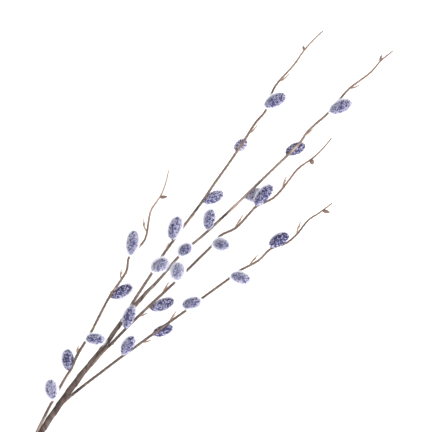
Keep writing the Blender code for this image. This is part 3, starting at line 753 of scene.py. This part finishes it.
def wound_paper(kind, low, high, shade, pale):
    """Crepe or kraft paper tape with a dry waxed face. It is dull all over and mottled by its fibres, and a
    thin line of painted shade where each lap ends shows that it is wound."""
    name, spread, wear, lap_shadow, fibre_mm, patch_mm = PAPERS[kind]
    material, add, surface = new_material(name)
    place = add("ShaderNodeTexCoord").outputs["Object"]
    share, lap, nick, fade, fluff = (
        add("ShaderNodeAttribute", attribute_name=label).outputs["Fac"]
        for label in ("share", "lap", "nick", "fade", "fluff")
    )
    upper = add(MAP_RANGE, (share, *spread), interpolation_type="SMOOTHSTEP")
    fibres = add(NOISE, {"Vector": place, "Scale": 1 / (fibre_mm * MM), "Detail": 4.0})
    patches = add(NOISE, {"Vector": place, "Scale": 1 / (patch_mm * MM), "Detail": 1.0})
    blotch = add(MAP_RANGE, (fibres, *FIBRE_BLOTCHES))
    worn = add(MAP_RANGE, (patches, *WORN_PATCHES, wear))
    paler = add(MATH, (worn, fade), operation="ADD", use_clamp=True)
    darker = add(MATH, (blotch, fade), operation="SUBTRACT", use_clamp=True)
    # Painted shade: a dark strip just before each lap's lip, in the low part that the next lap's edge stands
    # over
    before = add(MAP_RANGE, (lap, *LAP_SHADOW, lap_shadow))
    after = add(MAP_RANGE, (lap, *LAP_SHADOW_END))
    painted_lap_shade = add(MATH, (before, after), operation="MULTIPLY")
    colour = low
    green, white = linear(GREEN_UNDER_PAPER), linear(FLUFF_WHITE)
    for amount, coat in (
        (upper, high), (paler, pale), (darker, shade), (painted_lap_shade, shade), (nick, green), (fluff, white),
    ):
        colour = add(MIX, {MIX_FACTOR: amount, MIX_A: colour, MIX_B: coat}, data_type="RGBA")
    grain = add("ShaderNodeBump", {"Strength": 0.35, "Distance": GRAIN_MM * MM, "Height": fibres})
    feed(surface, {"Base Color": colour, "Roughness": 0.85, "Specular IOR Level": 0.3, "Normal": grain})
    return material


def dry_bark(name, colour, shade):
    """Plant skin that has dried and shrunk. Its fine streaks and low sheen set it off from the paper."""
    material, add, surface = new_material(name)
    place = add("ShaderNodeTexCoord").outputs["Object"]
    streaks = add(NOISE, {"Vector": place, "Scale": BARK_STREAKS_PER_METRE, "Detail": 3.0})
    mixed = add(MIX, {MIX_FACTOR: streaks, MIX_A: colour, MIX_B: shade}, data_type="RGBA")
    relief = add("ShaderNodeBump", {"Strength": 0.4, "Distance": GRAIN_MM * MM, "Height": streaks})
    feed(surface, {"Base Color": mixed, "Roughness": 0.6, "Normal": relief})
    return material


def flocked_fur(look):
    """Rayon flock, dyed and then frosted white at its tips. It has no shine, so the clumps show by their
    colour alone, from navy violet to lavender, under white hairs."""
    material, add, surface = new_material("Dyed flock fur")
    tone, tip, halo, frost = (
        add("ShaderNodeAttribute", attribute_name=label).outputs["Fac"]
        for label in ("tone", "tip", "halo", "frost")
    )
    level = add(MAP_RANGE, (tone, *PALE_TONE), interpolation_type="SMOOTHSTEP")
    share = add(MAP_RANGE, (frost, 0.0, 1.0, *FROSTED_ENDS))
    frosted = add(MATH, (level, share), operation="MULTIPLY")
    whiter = add(MAP_RANGE, (tip, 0.0, 1.0, *WHITE_TIPS))
    ends = add(MATH, (whiter, frosted), operation="MULTIPLY")
    colour, white = look.dark_colour, look.frost_colour
    for amount, coat in ((frost, look.dusty_colour), (level, look.pale_colour), (ends, white), (halo, white)):
        colour = add(MIX, {MIX_FACTOR: amount, MIX_A: colour, MIX_B: coat}, data_type="RGBA")
    feed(surface, {"Base Color": colour, "Roughness": 1.0, "Specular IOR Level": 0.1})
    return material


def steel_wire():
    """Annealed steel wire, cut across. Its ends are dull grey metal, a little rough from the cutter."""
    material, add, surface = new_material("Annealed steel wire")
    place = add("ShaderNodeTexCoord").outputs["Object"]
    pale, dark = (linear(grey) for grey in WIRE_GREYS)
    scratches = add(NOISE, {"Vector": place, "Scale": WIRE_SCRATCHES_PER_METRE, "Detail": 2.0})
    tint = add(MIX, {MIX_FACTOR: scratches, MIX_A: pale, MIX_B: dark}, data_type="RGBA")
    feed(surface, {"Base Color": tint, "Metallic": 1.0, "Roughness": 0.45})
    return material


def distances_mm(flat, pixel):
    """How far each point is, as seen from above, from a place in the picture."""
    spot = picture_point(*pixel)
    return np.hypot(flat[:, 0] - spot.x, flat[:, 1] - spot.y) / MM


def fluff_round(flat, spot):
    """How thickly the fluff of a catkin covers each point: from above, in a ring round its outline."""
    base, tip = picture_point(*spot.base), picture_point(*spot.tip)
    middle, along = (base + tip) / 2, (tip - base).normalized()
    across = flat - (middle.x, middle.y)
    run = across @ (along.x, along.y) / ((tip - base).length / 2)
    side = across @ (-along.y, along.x) / (spot.width_mm * MM / 2)
    inward = 1 - 1 / np.maximum(np.hypot(run, side), FLUFF_MIDDLE)
    gap_mm = np.hypot(across[:, 0], across[:, 1]) * inward / MM
    outer = np.clip((FLUFF_REACH_MM - gap_mm) / FLUFF_FADE_MM, 0, 1)
    inner = np.clip((FLUFF_INSET_MM + gap_mm) / FLUFF_FADE_MM, 0, 1)
    return outer * inner


def mark_wear(mesh, letter):
    """Stores for each point of a twig how green, how worn and how white with fluff its paper is."""
    count = len(mesh.vertices)
    places, share, green, fluff = np.zeros(count * 3), np.zeros(count), np.zeros(count), np.zeros(count)
    mesh.vertices.foreach_get("co", places)
    mesh.attributes["share"].data.foreach_get("value", share)
    flat = places.reshape(-1, 3)[:, :2]
    for pixel, amount in GREEN_NICKS[letter]:
        cover = np.clip(NICK_EDGE - distances_mm(flat, pixel) / NICK_REACH_MM, 0, 1)
        green = np.maximum(green, amount * cover)
    fade = FADED_TWIGS[letter] * np.clip((FADE_END - share) / FADE_RUN, 0, 1)
    for pixel, reach_mm, amount in WORN_PLACES[letter]:
        fade += amount * np.clip(WORN_EDGE * (1 - distances_mm(flat, pixel) / reach_mm), 0, 1)
    for spot in CATKINS[letter]:
        if spot.lie == "over":
            fluff = np.maximum(fluff, fluff_round(flat, spot))
    for label, values in (("nick", green), ("fade", fade), ("fluff", fluff)):
        mesh.attributes.new(label, "FLOAT", "POINT").data.foreach_set("value", values)


def catkin_frame(spot, twig_points):
    """Where a catkin is: its base, its direction and its length in metres."""
    low, high = picture_point(*spot.base), picture_point(*spot.tip)
    tilt = math.radians(spot.tilt)
    seen = (high - low).length
    across = spot.width_mm * MM * math.sin(tilt)
    length = math.sqrt(seen * seen - across * across) / math.cos(tilt)
    direction = (high - low).normalized() * math.cos(tilt) + Vector((0, 0, math.sin(tilt)))
    base = (low + high) / 2 - direction * length / 2
    base.z = nearest_on_route(twig_points, base).z + spot.lift_mm * MM
    return base, direction, length


def egg(name, base, direction, length, radius):
    """A long egg along a direction from its base, narrower at its base, with its faces in a fixed order."""
    turn = Vector((0, 0, 1)).rotation_difference(direction)
    points = [base]
    for ring in range(1, CORE_RINGS):
        share = (1 - math.cos(math.pi * ring / CORE_RINGS)) / 2
        reach = radius * math.sin(math.pi * ring / CORE_RINGS) * (1 - BASE_TAPER * (1 - share) ** 2)
        for segment in range(CORE_SEGMENTS):
            angle = math.tau * segment / CORE_SEGMENTS
            offset = Vector((reach * math.cos(angle), reach * math.sin(angle), length * share))
            points.append(base + turn @ offset)
    points.append(base + turn @ Vector((0, 0, length)))
    faces = []
    for segment in range(CORE_SEGMENTS):
        here, beside = 1 + segment, 1 + (segment + 1) % CORE_SEGMENTS
        faces.append((0, beside, here))
        for ring in range(CORE_RINGS - 2):
            low, high = ring * CORE_SEGMENTS, (ring + 1) * CORE_SEGMENTS
            faces.append((here + low, beside + low, beside + high, here + high))
        last = (CORE_RINGS - 2) * CORE_SEGMENTS
        faces.append((len(points) - 1, here + last, beside + last))
    mesh = bpy.data.meshes.new(name)
    mesh.from_pydata(points, [], faces)
    return mesh


def seated_catkin(letter, number, twig_points):
    """A catkin's base, direction and length, lowered to the surface if the branch rests on it."""
    spot = CATKINS[letter][number]
    base, direction, length = catkin_frame(spot, twig_points)
    if letter + str(number + 1) in FEET:
        outline = egg("outline", base, direction, length, spot.width_mm * MM / 2)
        base.z -= min(vertex.co.z for vertex in outline.vertices) + FOOT_PRESS_MM * MM
        bpy.data.meshes.remove(outline)
    return base, direction, length


def filament(root, tip, twig_points, bow_mm, profile):
    """Points and radii of a thin growth that bows away from its twig."""
    away = tip - nearest_on_route(twig_points, tip)
    away.z = 0
    bend = root.lerp(tip, SPRIG_HOOK) + away.normalized() * bow_mm * MM
    points = [root * (1 - t) ** 2 + bend * 2 * t * (1 - t) + tip * t**2 for t, radius in profile]
    return points, [radius for t, radius in profile]


def straight(root, tip, profile, width_mm=1.0):
    """Points and radii of a straight growth, whose radii are the profile's for a width of 1 mm."""
    return [root.lerp(tip, t) for t, radius in profile], [width_mm * radius for t, radius in profile]


def on_twig(twig_points, root_pixel, tip_pixel, rise_mm):
    """Where a growth leaves its twig, and where its tip is, a little above its root."""
    root = nearest_on_route(twig_points, picture_point(*root_pixel))
    return root, picture_point(*tip_pixel) + Vector((0, 0, root.z + rise_mm * MM))


def sprig_lines(letter, twig_points):
    """The lines of all sprigs on a twig: each has a long filament and a shorter one beside it."""
    lines = []
    for root_pixel, tip_pixel, bow_mm in SPRIGS[letter]:
        root, tip = on_twig(twig_points, root_pixel, tip_pixel, SPRIG_RISE_MM)
        side = (tip - root).cross(Vector((0, 0, 1))).normalized() * FILAMENT_SPREAD_MM * MM
        for end in (tip, root.lerp(tip, SHORT_SHARE) + side):
            lines.append(filament(root, end, twig_points, bow_mm, FILAMENT_PROFILE))
    return lines


def bract_lines(letter, twig_points):
    """The lines of the pale scales that lie along a twig."""
    ends = [on_twig(twig_points, *pixels, SPRIG_RISE_MM) for pixels in BRACTS[letter]]
    return [filament(root, tip, twig_points, BRACT_BOW_MM, BRACT_PROFILE) for root, tip in ends]


def bud_lines(letter, twig_points):
    """The lines of the bud and the knot on a twig."""
    lines = []
    for growths in (BUDS, KNOTS):
        if letter in growths:
            *pixels, width_mm = growths[letter]
            lines.append(straight(*on_twig(twig_points, *pixels, BUD_RISE_MM), BUD_PROFILE, width_mm / 2))
    return lines


def husk_lines(letter, twig_points):
    """The lines of the husks that hold a twig's catkins."""
    lines = []
    for number in range(len(CATKINS[letter])):
        base, direction = seated_catkin(letter, number, twig_points)[:2]
        root = nearest_on_route(twig_points, base)
        lines.append(straight(root, base + direction * HUSK_DEPTH_MM * MM, HUSK_PROFILE))
    return lines


class WILLOW_OT_stem(bpy.types.Operator):
    """Winds the main stem with crepe tape"""

    bl_idname = "willow.stem"
    bl_label = "Taped Stem"

    def execute(self, context):
        look = context.scene.willow_strand
        points = smooth_route(STEM_ROUTE)
        radii = [stem_radius(share) for share in shares_of_length(points)]
        paper = wound_paper("stem", look.tape_colour, look.tape_high, look.tape_shade, look.tape_pale)
        relief = look.tape_pitch, look.tape_lap, look.crepe_pitch, look.crepe_rise
        stem = strand("stem_tape", "stem", [(points, radii)], paper, 1, relief)
        belong(stem, "stem", "main_stem")
        return {"FINISHED"}


class WILLOW_OT_wire_ends(bpy.types.Operator):
    """Puts the ends of the bundled wires in the cut end of the stem"""

    bl_idname = "willow.wire_ends"
    bl_label = "Wire Ends"

    def execute(self, context):
        points = smooth_route(STEM_ROUTE)
        outward = (points[0] - points[1]).normalized()
        side = outward.cross(Vector((0, 0, 1))).normalized()
        lines = []
        for across, up in WIRE_ENDS_MM:
            foot = points[0] + (side * across + Vector((0, 0, 1)) * up) * MM
            ends = [foot - outward * WIRE_DEPTH_MM * MM, foot + outward * WIRE_OUT_MM * MM]
            lines.append((ends, [WIRE_RADIUS_MM] * 2))
        belong(strand("stem_wire_ends", "wire end", lines, steel_wire(), 2), "stem")
        return {"FINISHED"}


class WILLOW_OT_twigs(bpy.types.Operator):
    """Winds each wire twig with a narrow strip of paper"""

    bl_idname = "willow.twigs"
    bl_label = "Wound Twigs"

    def execute(self, context):
        look = context.scene.willow_strand
        paper = wound_paper("twig", look.low_colour, look.high_colour, look.tape_shade, look.worn_colour)
        ribs = look.crepe_pitch * TWIG_RIB_PITCH, look.crepe_rise * TWIG_RIB_RISE
        for seed, letter in enumerate(TWIG_ROUTES, start=3):
            relief = look.wind_pitch, look.wind_lap, *ribs
            twig = strand("twig_wound_" + letter, "twig", [twig_line(letter)], paper, seed, relief)
            mark_wear(twig.data, letter)
            belong(twig, "twig", "twig_" + letter)
        return {"FINISHED"}


class WILLOW_OT_shoots(bpy.types.Operator):
    """Grows the thin sprigs, the bracts, the buds and the husks that carry the catkins"""

    bl_idname = "willow.shoots"
    bl_label = "Sprigs, Buds and Husks"

    def execute(self, context):
        look = context.scene.willow_strand
        tan = dry_bark("Dry sprig skin", look.sprig_colour, linear(SPRIG_STREAK))
        pale = dry_bark("Pale bract skin", look.bract_colour, look.sprig_colour)
        scale = dry_bark("Dry bud scale", look.bud_colour, look.husk_colour)
        brown = dry_bark("Brown husk", look.husk_colour, look.tape_shade)
        bracts = []
        buds = []
        for seed, letter in enumerate(TWIG_ROUTES, start=20):
            points = twig_line(letter)[0]
            bracts += bract_lines(letter, points)
            buds += bud_lines(letter, points)
            belong(strand("sprigs_" + letter, "sprig", sprig_lines(letter, points), tan, seed), "twig")
            belong(strand("husks_" + letter, "husk", husk_lines(letter, points), brown, seed), "twig")
        belong(strand("bracts", "bract", bracts, pale, 30), "twig")
        belong(strand("buds", "bud", buds, scale, 31), "twig")
        return {"FINISHED"}


class WILLOW_OT_catkins(bpy.types.Operator):
    """Covers each catkin's core with clumped fur and long white hairs"""

    bl_idname = "willow.catkins"
    bl_label = "Furred Catkins"

    def execute(self, context):
        look = context.scene.willow_fur
        fur = flocked_fur(look)
        tree = shared_tree("Catkin fur", fur_tree)
        for letter in TWIG_ROUTES:
            points, radii = twig_line(letter)
            line = guide("twig_line_" + letter, [(points, radii)])
            for number, spot in enumerate(CATKINS[letter]):
                base, direction, length = seated_catkin(letter, number, points)
                inset = look.fur_length * CORE_INSET
                core = egg(
                    "core", base + direction * inset * CORE_SHIFT, direction, length - inset * CORE_LOSS,
                    spot.width_mm * MM / 2 - inset,
                )
                middle = base + direction * length / 2
                near = min(range(len(points)), key=lambda index: (points[index] - middle).length)
                room = (radii[near] + TWIG_GAP_MM) * MM
                name = letter + str(number + 1)
                fur_bare, halo_bare = (room + bare * MM if bare else 0.0 for bare in BARE_MM[spot.lie])
                values = {
                    "Base": base, "Direction": direction, "Catkin Length": length, "Clump Size": look.clump,
                    "Fur Density": look.fur_density / MM**2, "Fur Length": look.fur_length,
                    "Fur Width": look.fur_width, "Fur Bare Reach": fur_bare,
                    "Halo Density": look.halo_density / MM**2, "Halo Length": look.halo_length,
                    "Halo Width": look.halo_width, "Halo Bare Reach": halo_bare, "Frost": spot.frost,
                    "Twig": line, "Twig Room": room, "Seed": ord(letter) * 10 + number, "Material": fur,
                }
                catkin = grown("catkin_fur_" + name, placed("core", core), tree, values)
                belong(catkin, "catkin", "catkin_" + name)
            bpy.data.objects.remove(line, do_unlink=True)
        return {"FINISHED"}


class WILLOW_OT_stage(bpy.types.Operator):
    """Sets up a plain pale floor, a large soft light, even fill light and a camera straight above"""

    bl_idname = "willow.stage"
    bl_label = "Floor, Lights and Camera"

    def execute(self, context):
        look = context.scene.willow_stage
        scene = context.scene
        centre = picture_point(PICTURE_PIXELS / 2, PICTURE_PIXELS / 2)
        work = bmesh.new()
        bmesh.ops.create_grid(work, x_segments=1, y_segments=1, size=FLOOR_HALF_SIZE)
        mesh = bpy.data.meshes.new("floor")
        work.to_mesh(mesh)
        work.free()
        floor = placed("floor", mesh)
        floor.location = centre - Vector((0, 0, FLOOR_DROP_MM * MM))
        # Card with a matte coating: plain, pale and without a glint, so that it draws no eye
        board, _, surface = new_material("Matte white board")
        feed(surface, {"Base Color": look.floor_colour, "Roughness": 0.9})
        mesh.materials.append(board)

        world = bpy.data.worlds.new("Studio")
        world.use_nodes = True
        sky = {"Strength": look.sky_strength, "Color": (1.0, 1.0, 1.0, 1.0)}
        feed(world.node_tree.nodes["Background"], sky)
        scene.world = world

        # The picture's light comes from its lower right, which is towards -Y here, and the floor has its own
        # light, which nothing shades, so that it stays plain
        floor_alone = bpy.data.collections.new("floor_alone")
        floor_alone.objects.link(floor)
        all_but_floor = bpy.data.collections.new("all_but_floor")
        all_but_floor.objects.link(floor)
        all_but_floor.collection_objects[0].light_linking.link_state = "EXCLUDE"
        branch_lamp = softbox("softbox", look.key_power, centre + Vector(KEY_PLACE), centre)
        branch_lamp.light_linking.receiver_collection = all_but_floor
        floor_lamp = softbox("floor_softbox", look.floor_power, centre + Vector(FLOOR_LAMP_PLACE), centre)
        floor_lamp.light_linking.receiver_collection = floor_alone
        floor_lamp.light_linking.blocker_collection = floor_alone

        camera = bpy.data.cameras.new("camera")
        camera.lens = look.lens
        camera.sensor_width = SENSOR_MM
        distance = PICTURE_PIXELS * MM_PER_PIXEL * MM * camera.lens / camera.sensor_width
        camera.clip_end = CAMERA_REACH
        eye = placed("camera", camera)
        eye.location = centre + Vector((0, 0, distance + CAMERA_ABOVE_MM * MM))
        eye.rotation_euler = (0.0, 0.0, -SPRAY_ANGLE)
        scene.camera = eye
        scene.view_settings.view_transform = "Standard"
        return {"FINISHED"}


def softbox(name, power, place, target):
    """A large square soft light at a place, turned to its target."""
    light = bpy.data.lights.new(name, "AREA")
    light.shape = "SQUARE"
    light.size = SOFTBOX_SIZE
    light.energy = power
    lamp = placed(name, light)
    lamp.location = place
    lamp.rotation_mode = "QUATERNION"
    lamp.rotation_quaternion = (target - place).to_track_quat("-Z", "Y")
    lamp.visible_camera = False
    return lamp


OPERATORS = (
    WILLOW_OT_stem, WILLOW_OT_wire_ends, WILLOW_OT_twigs, WILLOW_OT_shoots, WILLOW_OT_catkins,
    WILLOW_OT_stage,
)
SETTINGS = {
    "willow_strand": WillowStrandSettings,
    "willow_fur": WillowFurSettings,
    "willow_stage": WillowStageSettings,
}


class WILLOW_PT_branch(bpy.types.Panel):
    """Lists the steps that dress the branch, and its sizes and colours"""

    bl_label = "Willow Branch"
    bl_idname = "WILLOW_PT_branch"
    bl_space_type = "VIEW_3D"
    bl_region_type = "UI"
    bl_category = "Willow"

    def draw(self, context):
        for operator in OPERATORS:
            self.layout.operator(operator.bl_idname)
        for name, group in SETTINGS.items():
            box = self.layout.box()
            for field in group.__annotations__:
                box.prop(getattr(context.scene, name), field)


def register():
    """Registers the classes and their settings."""
    for kind in (*SETTINGS.values(), *OPERATORS, WILLOW_PT_branch):
        bpy.utils.register_class(kind)
    for name, group in SETTINGS.items():
        setattr(bpy.types.Scene, name, bpy.props.PointerProperty(type=group))


def unregister():
    """Takes the settings and the classes away again."""
    for name in SETTINGS:
        delattr(bpy.types.Scene, name)
    for kind in (WILLOW_PT_branch, *reversed(OPERATORS), *reversed(SETTINGS.values())):
        bpy.utils.unregister_class(kind)


def main():
    register()
    bpy.ops.willow.stem()
    bpy.ops.willow.wire_ends()
    bpy.ops.willow.twigs()
    bpy.ops.willow.shoots()
    bpy.ops.willow.catkins()
    bpy.ops.willow.stage()


if __name__ == "__main__":
    main()
